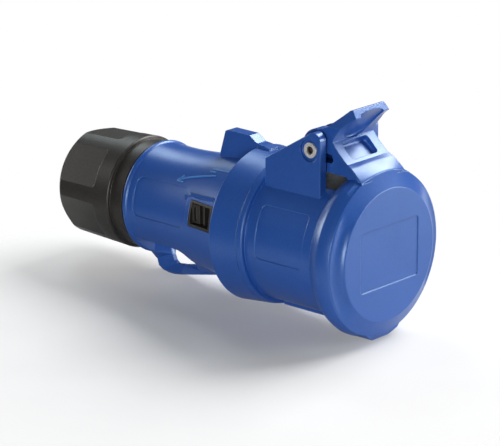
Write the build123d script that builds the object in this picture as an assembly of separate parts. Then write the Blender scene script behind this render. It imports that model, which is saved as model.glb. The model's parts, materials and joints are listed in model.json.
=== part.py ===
from build123d import *
import os
from math import cos, sin, tan, radians, degrees, atan2, sqrt

# A splash-proof cable connector with a spring lid: barrel, handle, gland nut and lid.
# Millimetres. +X leaves the mouth, +Z is up, and the origin is the centre of the mouth plane.

# Clearances
RUN = 0.3
FIT = 0.15
PIN_FIT = 0.05
THREAD_FIT = 0.1

# Front housing
BORE_R = 26.15
LIP_WALL = 0.75
LIP_BACK_WALL = 2.05
BARREL_WALL = 2.55
LIP_LENGTH = 8.6
BORE_DEPTH = 38.0
WEB_T = 2.0
RING_STEP = 1.9
RING_LENGTH = 2.3
RING_FLARE = 0.4
SEAM_GAP = 0.25
SPIGOT_LENGTH = 7.0
SPIGOT_WALL = 3.2
KEY_HALF = 3.2
KEY_DEPTH = 2.85
KEY_WALL = 2.0
KEY_ROUND = 1.4
PANEL_DEPTH = 0.35
PANEL_LENGTH = 24.5
PANEL_A0 = -8.0
PANEL_A1 = 36.0

# Hinge
HINGE_BACK = 18.5
HINGE_RISE = 12.5
PIN_R = 2.4
PIN_HEAD_R = 3.1
PIN_HEAD_T = 0.9
PIN_WALL = 0.7
EAR_SPACE = 28.0
EAR_T = 3.6
EAR_FRONT = 5.7
EAR_BACK = 23.1
EAR_RISE = 7.9
EAR_SHOULDER = 5.4
EAR_ROUND = 3.0
EAR_NOSE = 3.6
EAR_NOSE_DROP = 1.5
EAR_DISH_R = 4.6
EAR_DISH_DEPTH = 1.3

# Lid
LID_REACH = 8.0
SKIRT_BACK = 8.0
SKIRT_GAP = 0.4
SKIRT_WALL = 0.9
SIDE_STEP = 4.9
SIDE_BACK = 0.8
CHAMFER_DROP = 3.2
CHAMFER_WIDTH = 6.3
RIM_STEP = 3.8
LID_PLATE_T = 3.0
BOSS_HEIGHT = 2.8
CAVITY_WALL = 3.0
GASKET_GROOVE = 1.0
GASKET_OVERLAP = 1.95
GASKET_LIP = 0.9
GROOVE_MINOR = 5.0
GROOVE_LIFT = 4.1
GROOVE_OFFSET = 3.0
GROOVE_SWEEP = 84.0
LABEL_HALF_Y = 17.7
LABEL_HALF_Z = 12.3
ARM_GAP = 1.6
ARM_FOOT = 0.9
TIP_HALF = 9.3
TIP_RISE = 17.1
TIP_FORWARD = 15.3
KNUCKLE_R = 7.7
HUB_WALL = 2.2
PALM_FORWARD = 7.4
PALM_RISE = 3.5
HOOD_LENGTH = 9.4
HOOD_DEPTH = 2.1
POCKET_HALF = 7.9
POCKET_DROP = 1.0
POCKET_LENGTH = 8.4
POCKET_DEPTH = 3.2
BUMP_WALL = 2.7
BUMP_HALF = 8.2
KEY_CLEAR = 2.6

# Hinge spring
WIRE_R = 0.6
COIL_GAP = 0.9
COIL_PITCH = 1.7
COIL_TURNS = 4
SPRING_BAY_GAP = 1.4
SPRING_BAY_HALF = 6.5

# Contact carrier and contacts
COLLAR_GAP = 4.4
CARRIER_SET_BACK = 2.0
CARRIER_ROUND = 0.8
FLANGE_WALL = 0.95
FLANGE_T = 3.0
CARRIER_TAIL = 11.5
CARRIER_TAIL_STEP = 1.0
PITCH_R = 12.0
POLE_BORE_R = 2.5
EARTH_BORE_R = 3.5
CONTACT_WALL = 1.25
CONTACT_SET_BACK = 6.0
SLEEVE_LENGTH = 30.0
CONTACT_LENGTH = 43.5
CONTACT_FIT = 0.1
WIRE_BORE_SHARE = 0.72
WIRE_BORE_DEPTH = 10.0
SLOT_LENGTH = 18.0
SLOT_WIDTH = 0.7
CLIP_T = 0.5
CLIP_LENGTH = 5.0
CLIP_START = 4.0
TERM_R = 1.5
TERM_BACK = 4.0
TERM_SINK = 3.2
BACK_PLATE_T = 3.0
CARRIER_SCREW_R = 1.5
CARRIER_SCREW_Y = 11.0
CARRIER_SCREW_Z = -8.0
SCREW_GRIP = 4.0
SCREW_HEAD_T = 1.4
LOCK_RING_T = 1.2
LOCK_RING_BITE = 0.7
LOCK_RING_WIDTH = 2.5
LOCK_RING_SPLIT = 8.0

# Seal between housing and handle
SEAL_R = 1.0
SEAL_SET_BACK = 3.9
SEAL_PROUD = 0.35

# Rear handle
HANDLE_RING_LENGTH = 13.1
HANDLE_RING_FLARE = 1.3
HANDLE_RING_GAP = 0.5
HANDLE_FRONT_R = 27.2
HANDLE_MID_R = 24.5
HANDLE_WAIST_R = 22.8
HANDLE_REAR_R = 23.9
HANDLE_MID_X = -80.0
HANDLE_WAIST_X = -102.0
HANDLE_REAR_X = -116.5
REAR_BEAD = 2.6
HANDLE_WALL = 2.4
NECK_R = 21.5
NUT_GAP = 7.9
NECK_LAP = 2.0
THREAD_R = 19.6
THREAD_END_X = -142.0
UNDERCUT_Z = -14.0
WEB_X = -85.2
WEB_FOOT_HALF = 7.0
WEB_TOP_HALF = 18.2
WEB_FOOT_Z = -27.0
KEEL_HALF = 2.9
KEEL_FLARE = 7.0
KEEL_LOW_X = -107.0
KEEL_LOW_Z = -32.4
LOOP_BACK_X = -108.6
FIN_HALF = 2.75
FIN_TOP_Z = 36.4
FIN_BACK_X = -79.5
FIN_FLAT = 12.0
GRIP_X0 = -111.0
GRIP_X1 = -80.0
GRIP_A0 = -9.0
GRIP_A1 = 40.0
GRIP_DROP = 0.4

# Lock slide
SLIDE_X0 = -76.6
SLIDE_X1 = -64.8
SLIDE_Z0 = 1.4
SLIDE_Z1 = 9.8
SLIDE_TRAVEL = 3.6
SLIDE_FRAME_W = 1.0
SLIDE_RIB_T = 0.9
SLIDE_RIB_STEP = 6.2
SLIDE_SINK = 4.0
SLIDE_PLATE_T = 1.4
SLIDE_LAP = 0.9
THUMB_HEIGHT = 3.1
THUMB_W = 4.4
THUMB_SLOT = 1.5
BAR_RISE = 2.5
BAR_ANGLE = 30.0
BAR_T = 1.6

# Gland
NUT_FRONT_R = 24.1
NUT_BACK_R = 23.1
NUT_BODY_LENGTH = 29.5
NUT_SHOULDER = 7.4
NUT_END_R = 15.0
NUT_MOUTH_R = 9.5
NUT_FLOOR_T = 4.0
NUT_LIP_GAP = 1.2
NUT_LIP_WALL = 0.9
SCOOPS = 6
SCOOP_DEPTH = 1.7
SCOOP_HALF_ANGLE = 22.5
SCOOP_SET_BACK = 8.6
SCOOP_TURN = 26.0
SEAL_LENGTH = 10.0
SPIGOT_BORE = 14.0
SPIGOT_LEDGE = 2.5
CABLE_R = 6.5
WASHER_T = 1.2
COLLET_SLOTS = 6


def revolved(points):
    """Revolve a profile of (x, r) points about the X axis."""
    return revolve(make_face(Polyline(*[(x, 0, r) for x, r in points], close=True)), axis=Axis.X)


def line(a, b):
    """A straight edge between two (x, r) or (x, z) points."""
    return Edge.make_line((a[0], 0, a[1]), (b[0], 0, b[1]))


def arc(a, b, c):
    """An edge through three (x, r) or (x, z) points."""
    return Edge.make_three_point_arc((a[0], 0, a[1]), (b[0], 0, b[1]), (c[0], 0, c[1]))


def tube(x0, x1, r, bore=0.0):
    """A cylinder or sleeve along X between two stations."""
    solid = Plane.YZ.offset(min(x0, x1)) * extrude(Circle(r), abs(x1 - x0))
    if bore > 0:
        solid -= Plane.YZ.offset(min(x0, x1) - 1) * extrude(Circle(bore), abs(x1 - x0) + 2)
    return solid


def peg(x, y, z, length, r):
    """A cylinder along X from x forward by length."""
    return Pos(x, y, z) * (Plane.YZ * extrude(Circle(r), length))


def side_profile(points, half):
    """Extrude an (x, z) outline symmetrically across Y."""
    face = make_face(Polyline(*[(x, 0, z) for x, z in points], close=True))
    return extrude(face, half, dir=(0, 1, 0), both=True)


def front_profile(points, reach):
    """Extrude a (y, z) half outline, mirrored across Y, along X both ways."""
    loop = [(0, -y, z) for y, z in points] + [(0, y, z) for y, z in reversed(points)]
    return extrude(make_face(Polyline(*loop, close=True)), reach, dir=(1, 0, 0), both=True)


def block(x0, x1, y0, y1, z0, z1):
    """An axis-aligned box between limits."""
    return Pos((x0 + x1) / 2, (y0 + y1) / 2, (z0 + z1) / 2) * Box(abs(x1 - x0), abs(y1 - y0), abs(z1 - z0))


def barrel_patch(x0, x1, a0, a1, r0, r1, corner):
    """A rounded rectangle wrapped on a cylinder, angles from -Y toward +Z."""
    mid = radians((a0 + a1) / 2)
    half = r0 * radians(a1 - a0) / 2
    view = Plane(origin=((x0 + x1) / 2, 0, 0), x_dir=(1, 0, 0), z_dir=(0, -cos(mid), sin(mid)))
    return extrude(view * RectangleRounded(x1 - x0, 2 * half, corner), r1 + 3) & tube(x0 - 1, x1 + 1, r1, r0)


def across(side, y):
    """A sketch plane on the hinge axis, facing out of the given side."""
    return Plane(origin=(hinge_x, side * y, hinge_z), x_dir=(1, 0, 0), z_dir=(0, side, 0))


def hinge_rod(r, half):
    """A cylinder on the hinge axis."""
    axis_view = Plane(origin=(hinge_x, 0, hinge_z), x_dir=(1, 0, 0), z_dir=(0, 1, 0))
    return extrude(axis_view * Circle(r), half, both=True)


def place(angle, r):
    """(y, z) on a circle round the X axis, angle from -Z toward +Y."""
    return r * sin(radians(angle)), -r * cos(radians(angle))


# Stations and radii that follow from the sizes above
barrel_r = BORE_R + BARREL_WALL
lip_r = BORE_R + LIP_WALL
lip_back_r = BORE_R + LIP_BACK_WALL
web_x = -BORE_DEPTH
flange_x = web_x - WEB_T
flange_r = BORE_R - FLANGE_WALL
ring_x = flange_x - FLANGE_T + 0.1
seam_x = ring_x - RING_LENGTH
ring_r = barrel_r + RING_STEP
seam_r = ring_r + RING_FLARE
spigot_bore = flange_r + 0.2
spigot_r = spigot_bore + SPIGOT_WALL
spigot_end = seam_x - SPIGOT_LENGTH
key_r = BORE_R + KEY_DEPTH
key_out = key_r + KEY_WALL
hinge_x = -HINGE_BACK
hinge_z = barrel_r + HINGE_RISE
ear_y = EAR_SPACE / 2
dish_y = ear_y + EAR_T - EAR_DISH_DEPTH
carrier_r = BORE_R - COLLAR_GAP
lock_ring_x = flange_x - FLANGE_T - FIT
lock_ring_r = spigot_bore + LOCK_RING_BITE

# Front housing: barrel with a tapered lip, web, rear ring and spigot
housing = revolved([
    (spigot_end, 0), (0, 0), (0, lip_r), (-LIP_LENGTH, lip_back_r), (-LIP_LENGTH, barrel_r),
    (ring_x, barrel_r), (ring_x, ring_r - 0.4), (ring_x - 0.4, ring_r),
    (seam_x, seam_r), (seam_x, spigot_r), (spigot_end, spigot_r)])
key_rib = side_profile([
    (0, -key_out + 0.9), (0, 6 - BORE_R), (ring_x, 6 - BORE_R), (ring_x, -key_out), (-LIP_LENGTH, -key_out)],
    KEY_HALF + KEY_WALL)
housing += fillet(key_rib.edges().filter_by(Axis.X).sort_by(Axis.Z)[:2], KEY_ROUND)
ear_front = hinge_x + EAR_FRONT
ear_back = hinge_x - EAR_BACK
ear_top = hinge_z + EAR_RISE
ears = side_profile([
    (ear_front, 0.56 * barrel_r), (ear_front, ear_top - EAR_NOSE_DROP), (ear_front - EAR_NOSE, ear_top),
    (ear_back + 0.2, barrel_r + EAR_SHOULDER), (ear_back, 0.56 * barrel_r)], ear_y + EAR_T)
ears -= block(ear_back - 5, ear_front + 5, -ear_y, ear_y, 0, ear_top + 5)
top_edges = ears.edges().filter_by(Axis.Y).group_by(Axis.Z)
housing += fillet(top_edges[-1] + top_edges[-2], EAR_ROUND)
housing -= tube(web_x, 1, BORE_R)
housing -= tube(flange_x - 1, web_x + 1, carrier_r + RUN)
housing -= tube(spigot_end - 1, flange_x, spigot_bore)
housing -= block(web_x, 1, -KEY_HALF, KEY_HALF, -key_r, -0.4 * key_r)
housing -= hinge_rod(PIN_R + PIN_FIT, ear_y + EAR_T + 1)
for side in (-1, 1):
    housing -= extrude(across(side, dish_y) * Circle(EAR_DISH_R), EAR_DISH_DEPTH + 3)
seal_x = seam_x - SEAL_SET_BACK
seal_floor = spigot_r + SEAL_PROUD - 2 * SEAL_R - FIT
housing -= tube(seal_x - SEAL_R - 0.1, seal_x + SEAL_R + 0.1, spigot_r + 1, seal_floor)
housing -= tube(lock_ring_x - LOCK_RING_T - FIT, lock_ring_x + FIT, lock_ring_r + FIT)
panel_x = hinge_x - 6.8
housing -= barrel_patch(panel_x - PANEL_LENGTH / 2, panel_x + PANEL_LENGTH / 2, PANEL_A0, PANEL_A1,
                        barrel_r - PANEL_DEPTH, barrel_r + 1, 2.0)

# Hinge pin: hollow at its ends, with a flat head in each ear's dish
hinge_pin = hinge_rod(PIN_R, dish_y)
for side in (-1, 1):
    hinge_pin += extrude(across(side, dish_y) * Circle(PIN_HEAD_R), PIN_HEAD_T)
    hinge_pin -= extrude(across(side, dish_y - 1.5) * Circle(PIN_R - PIN_WALL), 5)

# Lid: plate, sloping rim, skirt, arm and the bump over the keyway
face_x = LID_REACH
skirt_x = -SKIRT_BACK
skirt_in = lip_back_r + SKIRT_GAP
skirt_r = skirt_in + SKIRT_WALL
side_x = -SIDE_BACK
side_r = skirt_r + SIDE_STEP
rim_x = face_x - CHAMFER_DROP
rim_r = skirt_r + RIM_STEP
face_r = rim_r - CHAMFER_WIDTH
plate_x = face_x - LID_PLATE_T
boss_x = plate_x - BOSS_HEIGHT
gasket_r0 = BORE_R - GASKET_OVERLAP
gasket_r1 = lip_back_r + 0.2
cavity_r = side_r - CAVITY_WALL
back_x = (side_x + skirt_x) / 2 - 0.2
lid = revolve(Face(Wire([
    line((0, 0), (face_x, 0)),
    line((face_x, 0), (face_x, face_r)),
    line((face_x, face_r), (rim_x, rim_r)),
    arc((rim_x, rim_r), (0.6 * rim_x + 0.4 * side_x, side_r - 0.3), (side_x, side_r)),
    arc((side_x, side_r), (back_x, side_r - 0.36 * SIDE_STEP), (skirt_x, skirt_r)),
    line((skirt_x, skirt_r), (skirt_x, 0)),
    line((skirt_x, 0), (0, 0))])), axis=Axis.X)
arm_half = ear_y - ARM_GAP
arm_foot = arm_half + ARM_FOOT
tip = (hinge_x + TIP_FORWARD, hinge_z + TIP_RISE)
tip_low = (tip[0] + 2.2, tip[1] - 3.0)
heel = (hinge_x + 5.1, skirt_r + 3.1)
sole = (skirt_x + 4.8, skirt_r + 2.7)
toe = (side_x - 0.7, skirt_r)
foot_in = (plate_x - 1.4, skirt_r)
foot = (rim_x + 0.6, rim_r - 2.0)
palm = (hinge_x + PALM_FORWARD, hinge_z + PALM_RISE)
hood_mid = (palm[0] + 4.3, palm[1] + 6.1)
face_mid = ((palm[0] + foot[0]) / 2 - 0.7, (palm[1] + foot[1]) / 2 - 0.7)
nape = (hinge_x + 5.0, hinge_z + 9.4)
crown = (hinge_x, hinge_z + KNUCKLE_R - 0.2)
base = (hinge_x, hinge_z - KNUCKLE_R + 2.2)
arm = extrude(Face(Wire([
    line(heel, sole), line(sole, toe), line(toe, foot_in), line(foot_in, foot),
    arc(foot, face_mid, palm), arc(palm, hood_mid, tip_low),
    line(tip_low, tip), line(tip, (tip[0] - 1.3, tip[1] - 0.3)),
    line((tip[0] - 1.3, tip[1] - 0.3), nape), line(nape, crown), line(crown, base), line(base, heel)])),
    arm_foot, dir=(0, 1, 0), both=True)
arm &= front_profile([
    (arm_foot, skirt_r - 1.5), (arm_half, hinge_z - 3.2), (arm_half, hinge_z + 9.5),
    (TIP_HALF + 0.8, tip[1] - 3), (TIP_HALF, tip[1] + 0.1)], 40)
arm += hinge_rod(KNUCKLE_R, arm_half)
arm += hinge_rod(PIN_R + HUB_WALL, ear_y - RUN)

# Finger recess: a bowl under the tip and a shallow rounded pocket in the face below it
hood_turn = degrees(atan2(tip_low[1] - palm[1], tip_low[0] - palm[0]))
hood = Pos(hood_mid[0] + 1.2, 0, hood_mid[1] + 0.4) * (Rot(0, -hood_turn, 0) * scale(
    Sphere(1), by=(HOOD_LENGTH, TIP_HALF - 0.3, HOOD_DEPTH)))
arm -= hood
face_turn = degrees(atan2(palm[1] - foot[1], foot[0] - palm[0]))
pocket_view = Pos(palm[0], 0, palm[1]) * (
    Rot(0, face_turn, 0) * Pos(POCKET_DROP + POCKET_LENGTH / 2, 0, -POCKET_DEPTH))
pocket = Pos(0, 0, 5) * Box(POCKET_LENGTH, 2 * POCKET_HALF, 10)
pocket = fillet(pocket.edges().filter_by(Axis.Z), 1.8)
pocket = fillet(pocket.edges().group_by(Axis.Z)[0], 0.9)
arm -= pocket_view * pocket
notch_x = hinge_x + KNUCKLE_R
arm -= side_profile([
    (hinge_x + 1, hinge_z - 5.0), (notch_x - 0.6, hinge_z - 5.0), (notch_x + 0.4, hinge_z - 3.8),
    (notch_x - 0.4, hinge_z - 1.6), (hinge_x + 1, hinge_z - 1.2)], arm_foot + 5)
bump_z = -(key_out + KEY_CLEAR + BUMP_WALL)
bump = side_profile([
    (rim_x, -rim_r + 0.4), (rim_x - 1.4, bump_z + 0.9), (rim_x - 3.4, bump_z), (-4.0, bump_z),
    (-6.2, -rim_r + 0.6), (-6.2, -rim_r + 6.3), (rim_x, -rim_r + 6.3)], BUMP_HALF + 3)
bump_y = BUMP_HALF + 2
bump &= extrude(Face(Wire([
    Edge.make_line((0, -bump_y, -rim_r + 8), (0, -bump_y, -rim_r + 1.5)),
    Edge.make_three_point_arc((0, -bump_y, -rim_r + 1.5), (0, 0, bump_z), (0, bump_y, -rim_r + 1.5)),
    Edge.make_line((0, bump_y, -rim_r + 1.5), (0, bump_y, -rim_r + 8)),
    Edge.make_line((0, bump_y, -rim_r + 8), (0, -bump_y, -rim_r + 8))])), 30, dir=(1, 0, 0), both=True)
lid += arm + bump
lid -= revolved([
    (skirt_x - 1, 0), (plate_x, 0), (plate_x, gasket_r0 - GASKET_LIP), (boss_x, gasket_r0 - GASKET_LIP),
    (boss_x, cavity_r - 1.2), (boss_x - 1.2, cavity_r), (side_x - 0.8, cavity_r), (skirt_x, skirt_in),
    (skirt_x - 1, skirt_in)])
lid -= tube(boss_x - 1, boss_x + GASKET_GROOVE, gasket_r1 + 0.1, gasket_r0 - 0.1)
key_pocket = KEY_HALF + KEY_WALL + 1.2
lid -= block(skirt_x - 2, boss_x - 0.8, -key_pocket, key_pocket, -key_out - KEY_CLEAR, 5 - skirt_in)
slope = atan2(CHAMFER_DROP, CHAMFER_WIDTH)
groove_r = face_r + GROOVE_OFFSET + GROOVE_LIFT * sin(slope)
groove_x = face_x - GROOVE_OFFSET * tan(slope) + GROOVE_LIFT * cos(slope)
for side in (-1, 1):
    c, s = cos(radians(GROOVE_SWEEP / 2)), sin(radians(GROOVE_SWEEP / 2))
    start = Plane(origin=(groove_x, side * groove_r * c, -groove_r * s), x_dir=(1, 0, 0),
                  z_dir=(0, side * s, c))
    lid -= revolve(start * Circle(GROOVE_MINOR), axis=Axis.X, revolution_arc=side * GROOVE_SWEEP)
    for end in (-1, 1):
        lid -= Pos(groove_x, side * groove_r * c, end * groove_r * s) * Sphere(GROOVE_MINOR)
label = RectangleRounded(2 * LABEL_HALF_Y, 2 * LABEL_HALF_Z, 1.5)
lid -= extrude(Plane.YZ.offset(face_x - PANEL_DEPTH) * label, 2)
lid -= hinge_rod(PIN_R + PIN_FIT, ear_y + 1)
coil_r = PIN_R + COIL_GAP + WIRE_R
bay_r = coil_r + WIRE_R + SPRING_BAY_GAP
lid -= hinge_rod(bay_r, SPRING_BAY_HALF)
lid -= block(hinge_x - KNUCKLE_R - 2, hinge_x, -SPRING_BAY_HALF, SPRING_BAY_HALF, hinge_z - 12, hinge_z + 1.2)
lid -= block(hinge_x - KNUCKLE_R - 2, hinge_x + 2.4, -SPRING_BAY_HALF, -SPRING_BAY_HALF + 4.0,
             hinge_z - 12, hinge_z + KNUCKLE_R + 2)

# Lid gasket in its groove
lid_gasket = tube(RUN, boss_x + GASKET_GROOVE, gasket_r1, gasket_r0)

# Hinge spring: a coil round the pin, one leg down to the barrel and one against the arm
coil_height = COIL_PITCH * (COIL_TURNS + 0.25)
helix = Helix(pitch=COIL_PITCH, height=coil_height, radius=coil_r)
spring = sweep(Plane(helix @ 0, z_dir=helix % 0) * Circle(WIRE_R), path=helix)
spring += extrude(Plane(helix @ 0, z_dir=-(helix % 0)) * Circle(WIRE_R), HINGE_RISE - 0.1)
front_leg = sqrt(bay_r ** 2 - (coil_r + WIRE_R) ** 2) - RUN
spring += extrude(Plane(helix @ 1, z_dir=helix % 1) * Circle(WIRE_R), front_leg)
hinge_spring = Plane(origin=(hinge_x, -coil_height / 2, hinge_z), x_dir=(-1, 0, 0), z_dir=(0, 1, 0)) * spring

# Contact carrier: a face piece, an insert with its flange behind the web, and a terminal block
POLES = {"earth": (0.0, EARTH_BORE_R), "live": (120.0, POLE_BORE_R), "neutral": (-120.0, POLE_BORE_R)}
insert_x = -CARRIER_SET_BACK
contact_x = insert_x - CONTACT_SET_BACK
contact_back = contact_x - CONTACT_LENGTH
term_x = contact_back + TERM_BACK
tail_x = flange_x - FLANGE_T - CARRIER_TAIL
tail_r = carrier_r - CARRIER_TAIL_STEP
face_x1 = contact_x + FIT
flange_back = flange_x - FLANGE_T
carrier_face = revolved([
    (face_x1, 0), (insert_x, 0), (insert_x, carrier_r - CARRIER_ROUND), (insert_x - CARRIER_ROUND, carrier_r),
    (face_x1, carrier_r)])
carrier = tube(flange_back, face_x1, carrier_r) + tube(flange_back, flange_x, flange_r)
terminal_block = tube(tail_x, flange_back, tail_r)
plate_back = tail_x - BACK_PLATE_T
back_plate = tube(plate_back, tail_x, tail_r)
for angle, bore in POLES.values():
    y, z = place(angle, PITCH_R)
    seat = bore + CONTACT_WALL + CONTACT_FIT
    carrier_face -= peg(face_x1 - 1, y, z, CONTACT_SET_BACK + 3, bore + 0.35)
    carrier -= peg(flange_back - 1, y, z, face_x1 - flange_back + 2, seat)
    terminal_block -= peg(tail_x - 1, y, z, CARRIER_TAIL + 2, seat)
    terminal_block -= Pos(term_x, 0, 0) * (
        Rot(angle, 0, 0) * (Pos(0, 0, -PITCH_R - 15) * Cylinder(TERM_R + 0.4, 30)))
    back_plate -= peg(plate_back - 1, y, z, BACK_PLATE_T + 2, bore)

# Two slotted screws hold the back plate
screws = []
for side in (-1, 1):
    y, z = side * CARRIER_SCREW_Y, CARRIER_SCREW_Z
    terminal_block -= peg(tail_x - 1, y, z, SCREW_GRIP + 2, CARRIER_SCREW_R + 0.1)
    back_plate -= peg(plate_back - 1, y, z, BACK_PLATE_T + 2, CARRIER_SCREW_R + 0.1)
    screw = peg(plate_back, y, z, BACK_PLATE_T + SCREW_GRIP, CARRIER_SCREW_R)
    screw += peg(plate_back - SCREW_HEAD_T, y, z, SCREW_HEAD_T, 2 * CARRIER_SCREW_R)
    screw -= block(plate_back - SCREW_HEAD_T - 1, plate_back - SCREW_HEAD_T / 2, y - 4, y + 4,
                   z - 0.3, z + 0.3)
    screws.append(screw)

# Lock ring behind the flange, split at the top
lock_ring = tube(lock_ring_x - LOCK_RING_T, lock_ring_x, lock_ring_r, lock_ring_r - LOCK_RING_WIDTH)
lock_ring -= block(lock_ring_x - 5, lock_ring_x + 5, -LOCK_RING_SPLIT / 2, LOCK_RING_SPLIT / 2,
                   0, lock_ring_r + 2)

# Contacts: slotted sleeves with a clip round each and a radial screw at the rear
contacts = {}
clips = {}
terminal_screws = []
clip_x = contact_x - CLIP_START - CLIP_LENGTH
for pole, (angle, bore) in POLES.items():
    wall_r = bore + CONTACT_WALL
    wire_r = bore * WIRE_BORE_SHARE
    at = Pos(0, *place(angle, PITCH_R))
    turn = Rot(angle, 0, 0)
    body = at * tube(contact_back, contact_x, wall_r)
    body -= at * tube(contact_x - SLEEVE_LENGTH, contact_x + 1, bore)
    body -= at * tube(contact_back - 1, contact_back + WIRE_BORE_DEPTH, wire_r)
    body -= at * (turn * block(
        contact_x - SLOT_LENGTH, contact_x + 8, -SLOT_WIDTH / 2, SLOT_WIDTH / 2, -20, 20))
    body -= at * tube(clip_x - 0.1, clip_x + CLIP_LENGTH + 0.1, wall_r + 1, wall_r - CLIP_T - 0.1)
    body -= Pos(term_x, 0, 0) * (turn * (Pos(0, 0, -PITCH_R - 10) * Cylinder(TERM_R + 0.05, 20)))
    contacts[pole] = body
    clip = at * tube(clip_x, clip_x + CLIP_LENGTH, wall_r - 0.05, wall_r - CLIP_T)
    clip -= at * (turn * block(clip_x - 1, clip_x + CLIP_LENGTH + 1, -0.8, 0.8, -20, 0))
    clips[pole] = clip
    low = PITCH_R + wire_r - 0.4
    high = carrier_r - TERM_SINK
    stem = Pos(term_x, 0, 0) * (turn * (Pos(0, 0, -(low + high) / 2) * Cylinder(TERM_R, high - low)))
    terminal_screws.append(stem)

# Seal ring on the spigot
body_seal = Pos(seal_x, 0, 0) * (Rot(0, 90, 0) * Torus(seal_floor + FIT + SEAL_R, SEAL_R))

# Rear handle: ring over the spigot, waisted grip, neck and thread spigot
handle_x = seam_x - SEAM_GAP
ring_back = (handle_x + 0.05 - HANDLE_RING_LENGTH, seam_r + HANDLE_RING_FLARE)
grip_front = (ring_back[0] - 2.6, HANDLE_FRONT_R)
rear_in = (HANDLE_REAR_X + REAR_BEAD, HANDLE_REAR_R - 0.7)
rear = (HANDLE_REAR_X, HANDLE_REAR_R - 0.9)
nut_x = HANDLE_REAR_X - NUT_GAP
neck_x = nut_x - NECK_LAP
grip_curve = Edge.make_spline([(x, 0, r) for x, r in (
    grip_front, (HANDLE_MID_X, HANDLE_MID_R), (HANDLE_WAIST_X, HANDLE_WAIST_R), rear_in)])


def grip_core(drop):
    """The round grip between its ring and its rear rim, lowered by drop."""
    ends = (grip_front[0], grip_front[1] - drop), (rear_in[0], rear_in[1] - drop)
    top = Edge.make_spline([(x, 0, r) for x, r in (
        ends[0], (HANDLE_MID_X, HANDLE_MID_R - drop), (HANDLE_WAIST_X, HANDLE_WAIST_R - drop), ends[1])])
    return revolve(Face(Wire([
        top, line(ends[1], (ends[1][0], 0)), line((ends[1][0], 0), (ends[0][0], 0)),
        line((ends[0][0], 0), ends[0])])), axis=Axis.X)


handle = revolve(Face(Wire([
    line((handle_x, 0), (handle_x, seam_r)),
    line((handle_x, seam_r), ring_back),
    arc(ring_back, (ring_back[0] - 0.6, ring_back[1] - 0.3), (ring_back[0] - 0.9, ring_back[1] - 0.9)),
    line((ring_back[0] - 0.9, ring_back[1] - 0.9), (ring_back[0] - 1.3, HANDLE_FRONT_R + 0.8)),
    arc((ring_back[0] - 1.3, HANDLE_FRONT_R + 0.8), (ring_back[0] - 1.7, HANDLE_FRONT_R + 0.2), grip_front),
    grip_curve,
    arc(rear_in, (HANDLE_REAR_X + 1.2, HANDLE_REAR_R), rear),
    line(rear, (HANDLE_REAR_X, NECK_R)),
    line((HANDLE_REAR_X, NECK_R), (neck_x, NECK_R)),
    line((neck_x, NECK_R), (neck_x, THREAD_R)),
    line((neck_x, THREAD_R), (THREAD_END_X, THREAD_R)),
    line((THREAD_END_X, THREAD_R), (THREAD_END_X, 0)),
    line((THREAD_END_X, 0), (handle_x, 0))])), axis=Axis.X)

# Underside: a wedge below the front of the grip, a flat cut behind it, then the keel with its loop
web_front = ring_back[0] - 1.4
handle += loft([
    Plane(origin=(web_front, 0, 0), x_dir=(0, 1, 0), z_dir=(1, 0, 0)) * make_face(Polyline(
        (-WEB_TOP_HALF, UNDERCUT_Z), (-WEB_FOOT_HALF, WEB_FOOT_Z + 4.5), (WEB_FOOT_HALF, WEB_FOOT_Z + 4.5),
        (WEB_TOP_HALF, UNDERCUT_Z), close=True)),
    Plane(origin=(WEB_X - 3.0, 0, 0), x_dir=(0, 1, 0), z_dir=(1, 0, 0)) * make_face(Polyline(
        (-WEB_TOP_HALF, UNDERCUT_Z), (-WEB_FOOT_HALF, WEB_FOOT_Z), (WEB_FOOT_HALF, WEB_FOOT_Z),
        (WEB_TOP_HALF, UNDERCUT_Z), close=True))])
undercut_x = HANDLE_REAR_X + REAR_BEAD
handle -= side_profile([
    (undercut_x, UNDERCUT_Z), (undercut_x, -40), (WEB_X - 2.4, -40), (WEB_X - 2.4, WEB_FOOT_Z + 0.6),
    (WEB_X - 0.5, -21.7), (WEB_X, -18.0), (WEB_X - 0.8, -16.0), (WEB_X - 2.2, -14.7),
    (WEB_X - 4.4, UNDERCUT_Z)], 40)
low_x = KEEL_LOW_X
low_z = KEEL_LOW_Z
keel = side_profile([
    (HANDLE_REAR_X, -16), (HANDLE_REAR_X, low_z + 6.4), (HANDLE_REAR_X + 0.9, low_z + 2.4),
    (low_x - 6.3, low_z + 0.9), (low_x - 3.6, low_z), (low_x, low_z), (low_x + 3.7, low_z + 0.8),
    (WEB_X - 4.8, low_z + 3.6), (WEB_X + 7.2, low_z + 6.2), (WEB_X + 12, -14),
    (undercut_x, UNDERCUT_Z + 1.5)], 2 * KEEL_HALF + 2)
keel &= front_profile([
    (KEEL_FLARE, -10), (KEEL_FLARE, 1.2 - HANDLE_REAR_R), (KEEL_HALF + 0.3, low_z + 5.2),
    (KEEL_HALF, low_z + 1), (KEEL_HALF - 0.8, low_z)], 200)
keel -= side_profile([
    (LOOP_BACK_X - 0.3, UNDERCUT_Z), (LOOP_BACK_X, -21.0), (LOOP_BACK_X + 1.1, low_z + 8.5),
    (LOOP_BACK_X + 2.2, low_z + 6.0), (LOOP_BACK_X + 3.8, low_z + 4.8), (WEB_X - 7.6, low_z + 7.3),
    (WEB_X + 2, low_z + 9.3), (WEB_X + 2, UNDERCUT_Z)], 20)
handle += keel

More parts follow.
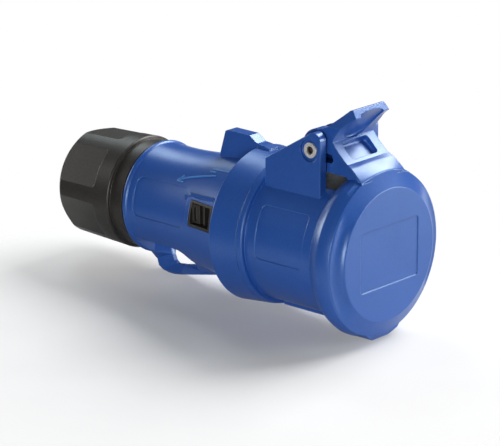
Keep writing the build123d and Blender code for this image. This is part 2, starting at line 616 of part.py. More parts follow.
# Fin on top, its front end merging with the ring
fin = side_profile([
    (FIN_BACK_X - 0.8, 20), (FIN_BACK_X, 26.3), (FIN_BACK_X + 2.9, FIN_TOP_Z - 0.6),
    (FIN_BACK_X + 4.1, FIN_TOP_Z), (FIN_BACK_X + 4.1 + FIN_FLAT, FIN_TOP_Z - 0.2),
    (ring_back[0] - 0.8, ring_back[1] + 1.2), (ring_back[0] + 2.4, ring_back[1] + 0.9),
    (ring_back[0] + 6, ring_back[1]), (ring_back[0] + 6, seam_r - 1.4), (ring_back[0] - 2, 20)], FIN_HALF)
handle += fillet(fin.edges().filter_by(Axis.Y).group_by(Axis.Z)[-1], 1.0)

# Inside of the handle: socket for the spigot, wiring space, seat for the gland seal
handle -= tube(handle_x + 1, spigot_end - 1.2, spigot_r + HANDLE_RING_GAP)
space = revolved([
    (spigot_end - 0.2, 0), (spigot_end - 0.2, flange_r), (grip_front[0] + 1.5, flange_r),
    (grip_front[0] - 3, HANDLE_FRONT_R - HANDLE_WALL - 1), (HANDLE_MID_X, HANDLE_MID_R - HANDLE_WALL - 0.6),
    (HANDLE_WAIST_X + 6, HANDLE_WAIST_R - HANDLE_WALL - 1), (HANDLE_REAR_X + 2.5, 17.0),
    (HANDLE_REAR_X - 2.5, SPIGOT_BORE - SPIGOT_LEDGE), (HANDLE_REAR_X - 2.5, 0)])
space -= block(HANDLE_REAR_X - 10, WEB_X + HANDLE_WALL, -30, 30, -40, UNDERCUT_Z + HANDLE_WALL)
handle -= space
seat_x = THREAD_END_X + SEAL_LENGTH
handle -= tube(THREAD_END_X - 1, seat_x, SPIGOT_BORE)
handle -= tube(seat_x - 1, HANDLE_REAR_X - 1.5, SPIGOT_BORE - SPIGOT_LEDGE)
grip_patch = barrel_patch(GRIP_X0, GRIP_X1, GRIP_A0, GRIP_A1, NECK_R - 2, HANDLE_FRONT_R, 3.0)
handle -= grip_patch - grip_core(GRIP_DROP)

# Window and track for the lock slide, with a bar above the window
track_x0 = SLIDE_X0 - SLIDE_TRAVEL - 1.0
track_x1 = SLIDE_X1 + SLIDE_TRAVEL + 0.7
plate_y = SLIDE_SINK - HANDLE_MID_R
clear_y = -HANDLE_FRONT_R - 2.8
bar_r = HANDLE_MID_R + BAR_RISE
track_y0 = plate_y - RUN
track_y1 = plate_y + SLIDE_PLATE_T + RUN
track_z0 = SLIDE_Z0 - SLIDE_LAP - RUN
track_z1 = SLIDE_Z1 + SLIDE_LAP + RUN
handle += block(track_x0 - 0.8, track_x1 + 0.8, track_y0 - 1, track_y1 + 1.5, track_z0 - 1, track_z1 + 1)
frame_x0 = SLIDE_X0 - SLIDE_FRAME_W
frame_x1 = SLIDE_X1 + SLIDE_FRAME_W
frame_z0 = SLIDE_Z0 - SLIDE_FRAME_W
frame_z1 = SLIDE_Z1 + SLIDE_FRAME_W
handle -= block(frame_x0 - FIT, frame_x1 + FIT, clear_y, track_y0 + 0.5, frame_z0 - FIT, frame_z1 + FIT)
slide_frame = block(frame_x0, frame_x1, clear_y, track_y0, frame_z0, frame_z1) & grip_core(0.05)
slide_frame -= block(SLIDE_X0, SLIDE_X1, clear_y - 1, track_y0 + 1, SLIDE_Z0, SLIDE_Z1)
handle -= block(track_x0, track_x1, track_y0, track_y1, track_z0, track_z1)
bar_view = Plane(origin=((SLIDE_X0 + SLIDE_X1) / 2, 0, 0), x_dir=(1, 0, 0),
                 z_dir=(0, -cos(radians(BAR_ANGLE)), sin(radians(BAR_ANGLE))))
bar = extrude(bar_view * RectangleRounded(SLIDE_X1 - SLIDE_X0 + 1.5, BAR_T, 0.6), bar_r)
handle += bar - tube(SLIDE_X0 - 5, SLIDE_X1 + 5, bar_r - 2.7)

# Lock slide: a slotted thumb piece on a plate that runs behind the window
lock_slide = block(track_x0 + 0.4, SLIDE_X1 + 0.4, plate_y, plate_y + SLIDE_PLATE_T,
                   SLIDE_Z0 - SLIDE_LAP, SLIDE_Z1 + SLIDE_LAP)
thumb_y = plate_y - THUMB_HEIGHT
thumb_x = SLIDE_X0 + RUN
lock_slide += block(thumb_x, thumb_x + THUMB_W, thumb_y, plate_y + 0.2, SLIDE_Z0 + RUN, SLIDE_Z1 - RUN)
lock_slide -= block(thumb_x + 1.2, thumb_x + 1.2 + THUMB_SLOT, thumb_y - 1, thumb_y + 1.4,
                    SLIDE_Z0 + 1.3, SLIDE_Z1 - 1.3)
rib_x = thumb_x + SLIDE_RIB_STEP
lock_slide += block(rib_x, rib_x + SLIDE_RIB_T, thumb_y, plate_y + 0.2, SLIDE_Z0 + RUN, SLIDE_Z1 - RUN)

# Gland nut: collar, tapered body with scooped flats, rounded shoulder
shoulder_x = nut_x - NUT_BODY_LENGTH
nut_end = shoulder_x - NUT_SHOULDER
floor_x = nut_end + NUT_FLOOR_T
nut = revolve(Face(Wire([
    line((nut_x, 0), (nut_x, NUT_FRONT_R - 0.8)),
    arc((nut_x, NUT_FRONT_R - 0.8), (nut_x - 0.4, NUT_FRONT_R - 0.15), (nut_x - 1.2, NUT_FRONT_R)),
    line((nut_x - 1.2, NUT_FRONT_R), (shoulder_x, NUT_BACK_R)),
    arc((shoulder_x, NUT_BACK_R), (shoulder_x - 0.45 * NUT_SHOULDER, NUT_BACK_R - 3.0),
        (nut_end + 1.4, NUT_END_R + 1.8)),
    line((nut_end + 1.4, NUT_END_R + 1.8), (nut_end, NUT_END_R)),
    line((nut_end, NUT_END_R), (nut_end, 0)),
    line((nut_end, 0), (nut_x, 0))])), axis=Axis.X)
scoop_front = nut_x - SCOOP_SET_BACK
scoop_mid = shoulder_x + 4
nut_taper = degrees(atan2(NUT_FRONT_R - NUT_BACK_R, NUT_BODY_LENGTH))
for k in range(SCOOPS):
    width = 2 * NUT_FRONT_R * sin(radians(SCOOP_HALF_ANGLE))
    cutter = Pos(0, 0, 5) * Box(2 * (scoop_front - scoop_mid), width, 10)
    cutter = fillet(cutter.edges().filter_by(Axis.Z), 3.0)
    cutter = Pos(scoop_mid, 0, NUT_BACK_R + 0.2 - SCOOP_DEPTH) * (Rot(0, -nut_taper, 0) * cutter)
    nut -= Rot(360 / SCOOPS * k + SCOOP_TURN, 0, 0) * (Rot(90, 0, 0) * cutter)
nut += tube(nut_x - 1, nut_x + NUT_GAP - NUT_LIP_GAP, NECK_R + RUN + NUT_LIP_WALL)
nut -= tube(neck_x - 1.4, nut_x + NUT_GAP, NECK_R + RUN)
nut -= tube(THREAD_END_X - 3.2, nut_x, THREAD_R + THREAD_FIT)
nut -= revolved([
    (THREAD_END_X - 3.0, 0), (THREAD_END_X - 3.0, THREAD_R - 2), (floor_x, 13.6), (floor_x, 0)])
nut -= tube(nut_end - 1, floor_x + 1, NUT_MOUTH_R)

# Gland seal in the spigot, washer behind it and a slotted collet against the nut's floor
gland_seal = tube(THREAD_END_X, seat_x, SPIGOT_BORE - FIT, CABLE_R)
collet_x = THREAD_END_X - WASHER_T
gland_washer = tube(collet_x, THREAD_END_X, SPIGOT_BORE + 2.5, CABLE_R + 1.2)
collet_r = THREAD_R - 3.6
gland_collet = revolved([
    (collet_x, CABLE_R + 0.8), (collet_x, collet_r), (collet_x - 2.0, collet_r),
    (floor_x + RUN, collet_r - 3.4), (floor_x + RUN, CABLE_R + 0.8)])
for k in range(COLLET_SLOTS):
    gland_collet -= Rot(360 / COLLET_SLOTS * k, 0, 0) * block(floor_x - 1, collet_x - 2.5, 0, 30, -0.5, 0.5)

NODES = {
    "front_housing": housing,
    "rear_handle": handle,
    "lid": lid,
    "lid_gasket": lid_gasket,
    "hinge_pin": hinge_pin,
    "hinge_spring": hinge_spring,
    "carrier_face": carrier_face,
    "contact_carrier": carrier,
    "terminal_block": terminal_block,
    "carrier_back_plate": back_plate,
    "carrier_screws": Compound(screws),
    "carrier_lock_ring": lock_ring,
    "contact_live": contacts["live"],
    "contact_neutral": contacts["neutral"],
    "contact_earth": contacts["earth"],
    "clip_live": clips["live"],
    "clip_neutral": clips["neutral"],
    "clip_earth": clips["earth"],
    "terminal_screws": Compound(terminal_screws),
    "body_seal": body_seal,
    "lock_slide": lock_slide,
    "slide_frame": slide_frame,
    "gland_nut": nut,
    "gland_seal": gland_seal,
    "gland_washer": gland_washer,
    "gland_collet": gland_collet,
}

os.makedirs("parts", exist_ok=True)
for name, shape in NODES.items():
    export_step(shape, f"parts/{name}.step")
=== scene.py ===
import bpy, bmesh, json, math
from math import sin, cos, radians
from mathutils import Vector, Matrix
from mathutils.bvhtree import BVHTree

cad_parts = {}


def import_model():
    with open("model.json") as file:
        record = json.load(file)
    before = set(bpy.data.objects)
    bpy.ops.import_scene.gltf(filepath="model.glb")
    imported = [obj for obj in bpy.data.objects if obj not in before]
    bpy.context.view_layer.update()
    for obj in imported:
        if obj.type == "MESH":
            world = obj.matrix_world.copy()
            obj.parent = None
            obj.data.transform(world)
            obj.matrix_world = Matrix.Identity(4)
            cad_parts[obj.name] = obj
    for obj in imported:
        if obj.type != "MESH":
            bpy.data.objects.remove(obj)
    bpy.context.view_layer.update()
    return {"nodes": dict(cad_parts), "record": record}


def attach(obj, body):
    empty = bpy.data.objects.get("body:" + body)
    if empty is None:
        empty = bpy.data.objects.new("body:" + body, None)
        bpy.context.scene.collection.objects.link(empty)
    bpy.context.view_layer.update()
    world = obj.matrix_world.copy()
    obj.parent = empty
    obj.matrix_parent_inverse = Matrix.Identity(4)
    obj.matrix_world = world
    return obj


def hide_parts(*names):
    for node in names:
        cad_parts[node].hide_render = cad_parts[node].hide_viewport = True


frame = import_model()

MM = 0.001
scene = bpy.context.scene
nodes = frame["nodes"]

# Camera: angles in radians, place in metres, lens and sensor in millimetres.
CAM_AZIMUTH, CAM_ELEVATION, CAM_ROLL = 0.73991, 0.30051, -0.00772
CAM_PLACE = (0.648627, -0.782732, 0.326436)
CAM_LENS, CAM_SENSOR = 195.06, 36.0
CAM_NEAR, CAM_FAR = 0.05, 20.0

# Noise of the mouldings: scale, detail, roughness.
CLOUD = (38.0, 3.0, 0.5)
FLECK = (1500.0, 2.0, 0.6)
SMEAR = (90.0, 3.0, 0.5)
WAVE = (140.0, 2.0, 0.4)
PLASTIC_BEVEL, METAL_BEVEL, PIN_BEVEL = 0.45 * MM, 0.2 * MM, 0.25 * MM
PIN_HOLLOW_Y, PIN_FACE_Y = 0.0160, 0.0171

# The lid's profile, in millimetres: flat face, sloping rim, side.
FACE_X, FACE_R = 8.0, 27.0
RIM_X, RIM_R = 4.8, 33.3
SIDE_X, SIDE_R = -0.8, 34.4
SLOPE = math.atan2(FACE_X - RIM_X, RIM_R - FACE_R)

# The two crescents in the slope, and the angles over which they fade out.
CRESCENT_R, CRESCENT_LIFT, CRESCENT_MID = 5.0, 4.1, 3.0
CRESCENT_HALF, CRESCENT_EDGE = 3.0, 2.85
CRESCENT_END, CRESCENT_FADE, CRESCENT_LIMIT = radians(45), radians(20), radians(54)

# The arm's foot: corners that overhang the rim, and where they are drawn in to.
FOOT_X, FOOT_R, FOOT_Z = 3.0, 33.5, 28
FOOT_NEW_X, FOOT_NEW_R = 3.6, 33.6

# The hanging loop: the hole's surroundings, its thinned rim and the thinned keel.
HOLE_X, HOLE_Z, HOLE_Y = (-109.6, -86.0), (-27.9, -13.9), (2.0, 7.6)
HOLE_BACK_X, HOLE_STRAP_Z = -104.0, -22.9
HOLE_RIM_HALF, HOLE_BACK_SHIFT, HOLE_STRAP_DROP = 0.9, 1.9, 0.5
KEEL_X, KEEL_TOP_Z, KEEL_HALF = (-113.4, -95), -13.9, 2.9

# The ramp at the foot of the arm, and the dark band of painted shade in the gap behind the skirt.
RAMP_X, RAMP_RUN, RAMP_TOP_Z = -3.1, 7.8, 37.08
RAMP_HALF, RAMP_FLARE, RAMP_LIFT, RAMP_EASE = 12.5, 0.75, 0.06, 0.75
BAND_X, BAND_RUN, BAND_R, BAND_HALF = -24.0, 15.7, 28.95, 26

# The raised signs on the handle.
PROBE_R = 0.06
SIGN_LIFT = 0.1

# The floor touches the lid's feet and the keel. Places and lengths are in metres.
FLOOR_PLACE = (-0.004, 0, -0.0364)
FLOOR_SLOPE = math.atan2(3.9, 106.6)
FLOOR_SIZE, FLOOR_GLOW = 3.0, 0.10
FLOOR_SHIFT = (0.045, 0.05, 0.0)
FLOOR_FADE = (0.02, 0.22)
FLOOR_AHEAD, FLOOR_AHEAD_FADE = (-0.45, -0.89, 0.0), (0.02, 0.14)
WORLD_LEVEL, BACKDROP_LEVEL = 0.07, 1.0


# ---------------------------------------------------------------- camera
def look():
    a, e, r = CAM_AZIMUTH, CAM_ELEVATION, CAM_ROLL
    back = Vector((sin(a) * cos(e), -cos(a) * cos(e), sin(e)))
    right = Vector((cos(a), sin(a), 0))
    up = back.cross(right)
    rx = right * cos(r) + up * sin(r)
    ux = -right * sin(r) + up * cos(r)
    cam = bpy.data.objects.new("camera", bpy.data.cameras.new("camera"))
    m = Matrix((rx, ux, back)).transposed().to_4x4()
    m.translation = Vector(CAM_PLACE)
    cam.matrix_world = m
    cam.data.sensor_width = CAM_SENSOR
    cam.data.lens = CAM_LENS
    cam.data.clip_start = CAM_NEAR
    cam.data.clip_end = CAM_FAR
    scene.collection.objects.link(cam)
    scene.camera = cam


look()


# ---------------------------------------------------------------- materials
class Mat:
    """A small node-tree builder."""

    def __init__(self, name):
        self.mat = bpy.data.materials.new(name)
        self.mat.use_nodes = True
        self.t = self.mat.node_tree
        self.t.nodes.clear()
        self.out = self.t.nodes.new("ShaderNodeOutputMaterial")
        self.coord = self.t.nodes.new("ShaderNodeTexCoord")

    def add(self, kind, **values):
        """A node; names with a leading underscore are settings, the rest are inputs."""
        n = self.t.nodes.new(kind)
        for key, v in values.items():
            if key.startswith("_"):
                setattr(n, key[1:], v)
            else:
                n.inputs[key].default_value = v
        return n

    def link(self, a, b):
        self.t.links.new(a, b)

    def noise(self, scale, detail=3.0, rough=0.5):
        n = self.add("ShaderNodeTexNoise", Scale=scale, Detail=detail, Roughness=rough)
        self.link(self.coord.outputs["Object"], n.inputs["Vector"])
        return n.outputs["Fac"]

    def ramp(self, fac, lo, hi, a=0.3, b=0.7):
        """Map a..b to lo..hi, clamped."""
        n = self.add("ShaderNodeMapRange")
        n.inputs["From Min"].default_value = a
        n.inputs["From Max"].default_value = b
        n.inputs["To Min"].default_value = lo
        n.inputs["To Max"].default_value = hi
        self.link(fac, n.inputs["Value"])
        return n.outputs["Result"]

    def smooth(self, fac, limits):
        """Map the limits to 0..1 with soft ends."""
        n = self.add("ShaderNodeMapRange", _interpolation_type="SMOOTHSTEP")
        n.inputs["From Min"].default_value = limits[0]
        n.inputs["From Max"].default_value = limits[1]
        self.link(fac, n.inputs["Value"])
        return n.outputs["Result"]

    def mix(self, fac, a, b):
        n = self.t.nodes.new("ShaderNodeMix")
        n.data_type = "RGBA"
        self.link(fac, n.inputs[0])
        for value, socket in ((a, n.inputs[6]), (b, n.inputs[7])):
            if hasattr(value, "is_linked"):
                self.link(value, socket)
            else:
                socket.default_value = (*value, 1.0)
        return n.outputs[2]

    def bump(self, height, strength, distance, normal=None):
        n = self.add("ShaderNodeBump", Strength=strength, Distance=distance)
        self.link(height, n.inputs["Height"])
        if normal is not None:
            self.link(normal, n.inputs["Normal"])
        return n.outputs["Normal"]

    def bevel(self, radius, samples=6):
        n = self.add("ShaderNodeBevel", Radius=radius)
        n.samples = samples
        return n.outputs["Normal"]

    def vector(self, operation, source, value=None):
        """A vector operation on a socket and, where it takes one, a constant."""
        n = self.add("ShaderNodeVectorMath", _operation=operation)
        self.link(source, n.inputs[0])
        if value is not None:
            n.inputs[1].default_value = value
        return n

    def finish(self, shader):
        self.link(shader.outputs[0], self.out.inputs[0])
        return self.mat


def edge_highlight_mask(m, radius):
    """How much the rounded normal leaves the true one: 1 on sharp edges."""
    geo = m.t.nodes.new("ShaderNodeNewGeometry")
    dot = m.vector("DOT_PRODUCT", m.bevel(radius, 4))
    m.link(geo.outputs["Normal"], dot.inputs[1])
    return m.ramp(dot.outputs["Value"], 1.0, 0.0, 0.85, 0.995)


def plastic(name, dark, light, fleck_and_edge_highlight, rough, grain, depth, spec=0.5, tint=(1, 1, 1)):
    """Moulded plastic: cloudy colour, fine flecks, a painted highlight that lightens the edges, and a fine
    grain.

    The roughness stays above 0.28, since the denoiser draws dark lines where it crosses 0.274.
    """
    m = Mat(name)
    shader = m.add("ShaderNodeBsdfPrincipled", IOR=1.49)
    shader.inputs["Specular IOR Level"].default_value = spec
    shader.inputs["Specular Tint"].default_value = (*tint, 1.0)
    base = m.mix(m.ramp(m.noise(*CLOUD), -0.2, 1.2, 0.0, 1.0), dark, light)
    base = m.mix(m.ramp(m.noise(*FLECK), 0.0, 0.12, 0.38, 0.68), base, fleck_and_edge_highlight)
    # painted highlight: sharp edges are mixed toward the pale third colour
    base = m.mix(m.ramp(edge_highlight_mask(m, PLASTIC_BEVEL), 0.0, 0.45, 0.0, 1.0), base, fleck_and_edge_highlight)
    m.link(base, shader.inputs["Base Color"])
    m.link(m.ramp(m.noise(*SMEAR), rough - 0.02, rough + 0.05, 0.2, 0.8), shader.inputs["Roughness"])
    normal = m.bump(m.noise(*WAVE), 0.25, 0.00012, m.bevel(PLASTIC_BEVEL))
    normal = m.bump(m.noise(grain, 2.0, 0.5), 0.5, depth, normal)
    m.link(normal, shader.inputs["Normal"])
    return m.finish(shader)


def metal(name, dark, light, rough, grain):
    m = Mat(name)
    shader = m.add("ShaderNodeBsdfPrincipled", Metallic=1.0)
    m.link(m.mix(m.ramp(m.noise(260.0, 4.0, 0.6), 0.0, 1.0), dark, light), shader.inputs["Base Color"])
    m.link(m.ramp(m.noise(900.0, 4.0, 0.6), rough - 0.08, rough + 0.1), shader.inputs["Roughness"])
    m.link(m.bump(m.noise(grain, 3.0, 0.5), 0.25, 0.00003, m.bevel(METAL_BEVEL)), shader.inputs["Normal"])
    return m.finish(shader)


def pin_metal():
    """Turned steel, darker inside the hollow ends of the pin."""
    m = Mat("pin steel")
    shader = m.add("ShaderNodeBsdfPrincipled", Metallic=0.45)
    split = m.t.nodes.new("ShaderNodeSeparateXYZ")
    m.link(m.coord.outputs["Object"], split.inputs[0])
    out = m.add("ShaderNodeMath", _operation="ABSOLUTE")
    m.link(split.outputs["Y"], out.inputs[0])
    face = m.ramp(out.outputs[0], 0.0, 1.0, PIN_HOLLOW_Y, PIN_FACE_Y)
    bright = m.mix(m.ramp(m.noise(700.0, 4.0, 0.6), 0.0, 1.0), (0.74, 0.73, 0.71), (0.92, 0.91, 0.89))
    m.link(m.mix(face, (0.07, 0.055, 0.045), bright), shader.inputs["Base Color"])
    m.link(m.ramp(face, 0.55, 0.24, 0.0, 1.0), shader.inputs["Roughness"])
    m.link(m.bump(m.noise(1500.0, 3.0, 0.5), 0.2, 0.00002, m.bevel(PIN_BEVEL)), shader.inputs["Normal"])
    return m.finish(shader)


def rubber(name, dark, light):
    m = Mat(name)
    shader = m.add("ShaderNodeBsdfPrincipled", IOR=1.5)
    shader.inputs["Sheen Weight"].default_value = 0.15
    shader.inputs["Sheen Roughness"].default_value = 0.5
    m.link(m.mix(m.ramp(m.noise(120.0, 4.0), 0.0, 1.0), dark, light), shader.inputs["Base Color"])
    m.link(m.ramp(m.noise(400.0, 3.0), 0.62, 0.8), shader.inputs["Roughness"])
    m.link(m.bump(m.noise(2200.0, 2.0), 0.4, 0.00004), shader.inputs["Normal"])
    return m.finish(shader)


# The third colour of each moulding serves the random flecks and the painted edge highlight.
BLUE = plastic("blue moulding", (0.013, 0.070, 0.325), (0.019, 0.084, 0.365), (0.07, 0.18, 0.48),
               0.305, 1700.0, 0.000022, spec=0.9, tint=(0.60, 0.80, 1.0))
BLACK = plastic("black moulding", (0.013, 0.0122, 0.0112), (0.021, 0.0195, 0.018), (0.11, 0.104, 0.096),
                0.40, 1300.0, 0.00005, spec=0.55, tint=(1.0, 0.96, 0.9))
GREY = plastic("carrier moulding", (0.50, 0.51, 0.52), (0.58, 0.585, 0.59), (0.7, 0.7, 0.7),
               0.45, 1800.0, 0.00003)
RUBBER = rubber("gasket rubber", (0.012, 0.012, 0.013), (0.03, 0.03, 0.032))
BRASS = metal("contact brass", (0.72, 0.5, 0.2), (0.86, 0.66, 0.33), 0.28, 1800.0)
PIN = pin_metal()
WIRE = metal("blackened wire", (0.018, 0.017, 0.017), (0.05, 0.048, 0.046), 0.45, 1500.0)
STEEL = metal("spring steel", (0.42, 0.42, 0.43), (0.6, 0.6, 0.61), 0.3, 1500.0)

BY_SLOT = {"blue_plastic": BLUE, "black_plastic": BLACK, "carrier_plastic": GREY, "gasket_rubber": RUBBER,
           "contact_brass": BRASS, "pin_steel": PIN, "spring_steel": STEEL}
for sub in frame["record"]["subparts"]:
    o = nodes[sub["node"]]
    material = WIRE if sub["node"] == "hinge_spring" else BY_SLOT[sub["material_slot"]]
    for s in o.material_slots:
        s.material = material
    if not o.material_slots:
        o.data.materials.append(material)


# ---------------------------------------------------------------- pieces
def place(name, data, body):
    """An object in the scene that rides on a body."""
    o = bpy.data.objects.new(name, data)
    scene.collection.objects.link(o)
    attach(o, body)
    return o


def reshaped(node, name, body, move, normal=None):
    """A copy of a node's mesh with some vertices moved, which stands for the node."""
    source = nodes[node]
    me = source.data.copy()
    me.name = name
    corner = [Vector(c.vector) for c in source.data.corner_normals]
    moved = set()
    for v in me.vertices:
        new = move(v.co / MM)
        if new is not None:
            moved.add(v.index)
            v.co = new * MM
    me.update()
    for face in me.polygons:
        face.use_smooth = True
        if any(i in moved for i in face.vertices):
            for i in face.loop_indices:
                n = None
                if normal is not None:
                    n = normal(me.vertices[me.loops[i].vertex_index].co / MM, face.normal)
                corner[i] = Vector(face.normal) if n is None else n
    me.normals_split_custom_set(corner)
    me.materials.clear()
    me.materials.append(BLUE)
    o = place(name, me, body)
    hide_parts(node)


def within(value, limits):
    return limits[0] < value < limits[1]


def sign(value):
    return 1 if value > 0 else -1


def crescent(p):
    """Angle, distance across, depth and radius of a point in the slope's crescents."""
    r = math.hypot(p.y, p.z)
    depth = (FACE_X - p.x) * cos(SLOPE) + (FACE_R - r) * sin(SLOPE)
    across = (r - FACE_R) * cos(SLOPE) + (FACE_X - p.x) * sin(SLOPE) - CRESCENT_MID / cos(SLOPE)
    return math.atan2(p.z, abs(p.y)), across, depth, r


def slope_normal(p, r):
    return Vector((cos(SLOPE), sin(SLOPE) * p.y / r, sin(SLOPE) * p.z / r))


def fade_out(angle):
    """Share of the crescent's depth left at an angle, and its rate of change."""
    u = min(1.0, max(0.0, (CRESCENT_END - abs(angle)) / CRESCENT_FADE))
    rate = -6 * u * (1 - u) / CRESCENT_FADE * sign(angle) if 0 < u < 1 else 0.0
    return u * u * (3 - 2 * u), rate


def lid_move(p):
    """Draw in the corners of the arm's foot, and fade the crescents' ends out."""
    angle, across, depth, r = crescent(p)
    if p.x > FOOT_X and r > FOOT_R and p.z > FOOT_Z:
        return Vector((FOOT_NEW_X, p.y, math.sqrt(FOOT_NEW_R ** 2 - p.y ** 2)))
    in_crescent = (0.004 < depth < 1.0 and abs(across) < CRESCENT_HALF
                   and abs(angle) < CRESCENT_LIMIT and p.x > FOOT_X)
    if not in_crescent:
        return None
    full = max(0.0, math.sqrt(CRESCENT_R ** 2 - across ** 2) - CRESCENT_LIFT)
    return p + slope_normal(p, r) * (depth - full * fade_out(angle)[0])


def lid_normal(p, flat):
    """The faded crescent's own normal, or None where the face keeps its flat one."""
    angle, across, depth, r = crescent(p)
    out = slope_normal(p, r)
    if flat.dot(out) < 0.75:
        return None
    down = Vector((-sin(SLOPE), cos(SLOPE) * p.y / r, cos(SLOPE) * p.z / r))
    along = Vector((0, -p.z / r, p.y / r)) * sign(p.y)
    wide = min(abs(across), CRESCENT_EDGE) * sign(across)
    root = math.sqrt(CRESCENT_R ** 2 - wide ** 2)
    level, slide = fade_out(angle)
    n = out + down * (-wide / root * level) + along * ((root - CRESCENT_LIFT) * slide / r)
    return n.normalized()


def keel_move(p):
    """Thin the flare beside the hanging hole, and bevel the hole's own rim."""
    side = sign(p.y)
    at_back, at_strap = p.x < HOLE_BACK_X, p.z < HOLE_STRAP_Z
    near_hole = within(p.x, HOLE_X) and within(p.z, HOLE_Z) and within(abs(p.y), HOLE_Y)
    if near_hole and (at_back or at_strap):
        return Vector((p.x - (HOLE_BACK_SHIFT if at_back else 0.0), HOLE_RIM_HALF * side,
                       p.z - (HOLE_STRAP_DROP if at_strap else 0.0)))
    if within(p.x, KEEL_X) and p.z < KEEL_TOP_Z and within(abs(p.y), (KEEL_HALF, HOLE_Y[1])):
        return Vector((p.x, KEEL_HALF * side, p.z))
    return None


reshaped("lid", "lid_shell", "lid", lid_move, lid_normal)
reshaped("rear_handle", "handle_shell", "housing", keel_move)


# ---------------------------------------------------------------- raised signs on the handle, in a lighter blue that paints their glint
# painted highlight: the signs' base colour is lighter than the moulding, standing for their glint
GLINT_MARK = plastic("blue raised marks", (0.03, 0.17, 0.52), (0.04, 0.21, 0.58), (0.15, 0.32, 0.66),
               0.32, 1700.0, 0.00001, spec=1.0, tint=(0.70, 0.88, 1.0))
handle = nodes["rear_handle"]
handle_tree = BVHTree.FromPolygons([handle.matrix_world @ v.co for v in handle.data.vertices],
                                   [tuple(face.vertices) for face in handle.data.polygons])


def on_handle(x, angle, lift):
    """A point on the handle's skin, from a station and an angle from -Y toward +Z."""
    out = Vector((0, -cos(radians(angle)), sin(radians(angle))))
    start = Vector((x, 0, 0)) * MM + out * PROBE_R
    return handle_tree.ray_cast(start, -out)[0] + out * lift * MM


def ridge(name, path, radius):
    """A rounded ridge that follows (x, angle) points on the handle."""
    data = bpy.data.curves.new(name, "CURVE")
    data.dimensions = "3D"
    data.bevel_depth = radius * MM
    data.bevel_resolution = 2
    data.use_fill_caps = True
    spline = data.splines.new("NURBS")
    spline.points.add(len(path) - 1)
    for point, (x, angle) in zip(spline.points, path):
        point.co = (*on_handle(x, angle, SIGN_LIFT * radius), 1.0)
    spline.order_u = 3
    spline.use_endpoint_u = True
    data.materials.append(GLINT_MARK)
    place(name, data, "housing")


ridge("turn_arrow_arc", [(-89.6, 42), (-87.0, 44.8), (-84.2, 47), (-78.6, 50), (-74.0, 52), (-70.1, 53)], 0.42)
ridge("turn_arrow_head", [(-87.4, 48.2), (-88.6, 45.0), (-90.2, 41.6), (-88.8, 41.0), (-86.2, 41.2)], 0.32)
ridge("mark_line_long", [(-74.4, 61), (-71.0, 60.2), (-68.0, 59.6), (-64.5, 59)], 0.38)
ridge("mark_line_short", [(-75.0, 57.5), (-73.2, 57.2), (-71.4, 57.0)], 0.34)


# ---------------------------------------------------------------- thin skins
def sheet(name, rows, cols, point, below, body, material):
    """A thin closed sheet over a grid of points, with its own underside."""
    bm = bmesh.new()
    upper, lower = [], []
    for i in range(rows + 1):
        for j in range(cols + 1):
            at = point(i / rows, 2 * j / cols - 1)
            upper.append(bm.verts.new(at * MM))
            lower.append(bm.verts.new((at + below(i / rows, at)) * MM))
    w = cols + 1
    for i in range(rows):
        for j in range(cols):
            a, b, c, d = i * w + j, i * w + j + 1, (i + 1) * w + j + 1, (i + 1) * w + j
            bm.faces.new((upper[a], upper[d], upper[c], upper[b]))
            bm.faces.new((lower[a], lower[b], lower[c], lower[d]))
    loop = ([(0, j) for j in range(cols)] + [(i, cols) for i in range(rows)]
            + [(rows, j) for j in range(cols, 0, -1)] + [(i, 0) for i in range(rows, 0, -1)])
    for k, (i, j) in enumerate(loop):
        ii, jj = loop[(k + 1) % len(loop)]
        bm.faces.new((upper[i * w + j], upper[ii * w + jj], lower[ii * w + jj], lower[i * w + j]))
    bmesh.ops.recalc_face_normals(bm, faces=bm.faces)
    me = bpy.data.meshes.new(name)
    bm.to_mesh(me)
    bm.free()
    for face in me.polygons:
        face.use_smooth = True
    me.set_sharp_from_angle(angle=radians(50))
    me.materials.append(material)
    place(name, me, body)


def rim_radius(x):
    """Radius of the lid's side at a station."""
    return SIDE_R - max(0.0, x - SIDE_X) * (SIDE_R - RIM_R) / (RIM_X - SIDE_X)


def ramp_point(u, side):
    """From the finger recess (u 0) down to the lid's round rim (u 1)."""
    x = RAMP_X + RAMP_RUN * u
    y = (RAMP_HALF + RAMP_FLARE * u) * side
    rim = math.sqrt((rim_radius(x) + RAMP_LIFT) ** 2 - y * y)
    top = math.sqrt((rim_radius(RAMP_X) + RAMP_LIFT) ** 2 - (RAMP_HALF * side) ** 2)
    return Vector((x, y, rim + (RAMP_TOP_Z - top) * (1 - u) ** RAMP_EASE))


def ramp_below(u, at):
    return Vector((0, 0, -0.35 - 1.2 * (1 - u) * u))


def band_point(u, side):
    """Over the top of the barrel, in the gap behind the lid's skirt: a dark sheet of painted shade."""
    angle = radians(90 - BAND_HALF * side)
    return Vector((BAND_X + BAND_RUN * u, BAND_R * cos(angle), BAND_R * sin(angle)))


def band_below(u, at):
    return Vector((0, -at.y, -at.z)).normalized() * 0.4


sheet("arm_ramp", 20, 24, ramp_point, ramp_below, "lid", BLUE)
# painted shade: a dark rubber sheet that darkens the gap between the barrel and the skirt
sheet("mouth_shade_band", 4, 24, band_point, band_below, "housing", RUBBER)


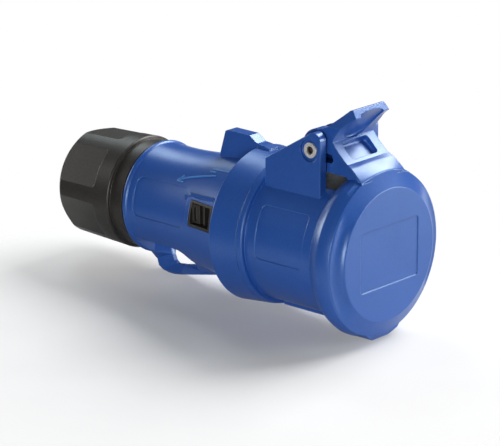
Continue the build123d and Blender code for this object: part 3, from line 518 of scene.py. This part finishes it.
# ---------------------------------------------------------------- floor, light
def floor():
    """A pale sheet that glows a little to the camera and fades out into the backdrop.

    For reflections it ends ahead of the part instead, so the near sides stay dark.
    """
    me = bpy.data.meshes.new("floor")
    bm = bmesh.new()
    bmesh.ops.create_grid(bm, x_segments=2, y_segments=2, size=FLOOR_SIZE)
    bm.to_mesh(me)
    bm.free()
    o = bpy.data.objects.new("floor", me)
    o.matrix_world = Matrix.Translation(FLOOR_PLACE) @ Matrix.Rotation(FLOOR_SLOPE, 4, "Y")
    scene.collection.objects.link(o)
    m = Mat("floor paper")
    diff = m.add("ShaderNodeBsdfDiffuse")
    paper = m.mix(m.ramp(m.noise(30.0), 0.0, 1.0), (0.71, 0.71, 0.712), (0.73, 0.73, 0.73))
    m.link(paper, diff.inputs["Color"])
    glow = m.add("ShaderNodeEmission", Color=(1, 1, 1, 1))
    path = m.t.nodes.new("ShaderNodeLightPath")
    gain = m.add("ShaderNodeMath", _operation="MULTIPLY")
    gain.inputs[1].default_value = FLOOR_GLOW
    m.link(path.outputs["Is Camera Ray"], gain.inputs[0])
    m.link(gain.outputs[0], glow.inputs["Strength"])
    total = m.t.nodes.new("ShaderNodeAddShader")
    m.link(diff.outputs[0], total.inputs[0])
    m.link(glow.outputs[0], total.inputs[1])
    clear = m.t.nodes.new("ShaderNodeBsdfTransparent")
    shift = m.vector("ADD", m.coord.outputs["Object"], FLOOR_SHIFT).outputs[0]
    fade = m.smooth(m.vector("LENGTH", shift).outputs["Value"], FLOOR_FADE)
    front = m.smooth(m.vector("DOT_PRODUCT", shift, FLOOR_AHEAD).outputs["Value"], FLOOR_AHEAD_FADE)
    gone = m.t.nodes.new("ShaderNodeMix")
    m.link(path.outputs["Is Glossy Ray"], gone.inputs[0])
    m.link(fade, gone.inputs[2])
    m.link(front, gone.inputs[3])
    mix = m.t.nodes.new("ShaderNodeMixShader")
    m.link(gone.outputs[0], mix.inputs[0])
    m.link(total.outputs[0], mix.inputs[1])
    m.link(clear.outputs[0], mix.inputs[2])
    me.materials.append(m.finish(mix))


def area(name, at, aim, size, power, color=(1, 1, 1)):
    lamp = bpy.data.lights.new(name, "AREA")
    lamp.shape = "RECTANGLE"
    lamp.size, lamp.size_y = size
    lamp.energy = power
    lamp.color = color
    o = bpy.data.objects.new(name, lamp)
    o.location = at
    o.rotation_euler = (Vector(aim) - Vector(at)).to_track_quat("-Z", "Y").to_euler()
    scene.collection.objects.link(o)


def world():
    """Dim light all round, and a white backdrop for the camera alone."""
    w = bpy.data.worlds.new("studio")
    scene.world = w
    w.use_nodes = True
    t = w.node_tree
    t.nodes.clear()
    out = t.nodes.new("ShaderNodeOutputWorld")
    path = t.nodes.new("ShaderNodeLightPath")
    mix = t.nodes.new("ShaderNodeMixShader")
    t.links.new(path.outputs["Is Camera Ray"], mix.inputs[0])
    for socket, level in ((1, WORLD_LEVEL), (2, BACKDROP_LEVEL)):
        sky = t.nodes.new("ShaderNodeBackground")
        sky.inputs["Color"].default_value = (1, 1, 1, 1)
        sky.inputs["Strength"].default_value = level
        t.links.new(sky.outputs[0], mix.inputs[socket])
    t.links.new(mix.outputs[0], out.inputs[0])


floor()
world()
area("back top", (0.12, 0.78, 0.80), (-0.05, 0, 0), (0.80, 0.55), 18.0)
area("low right", (0.66, 0.62, 0.08), (0.0, 0, 0), (0.45, 0.25), 5.0)
area("upper left", (-0.70, 0.35, 0.75), (-0.08, 0, 0), (0.30, 0.5), 2.3, (0.85, 0.95, 1.0))
area("fill", (0.50, -0.95, 0.12), (-0.03, 0, 0), (0.4, 0.4), 7.0)
area("left end", (-0.95, -0.18, 0.22), (-0.12, 0, 0), (0.3, 0.3), 2.0)

scene.view_settings.view_transform = "Standard"
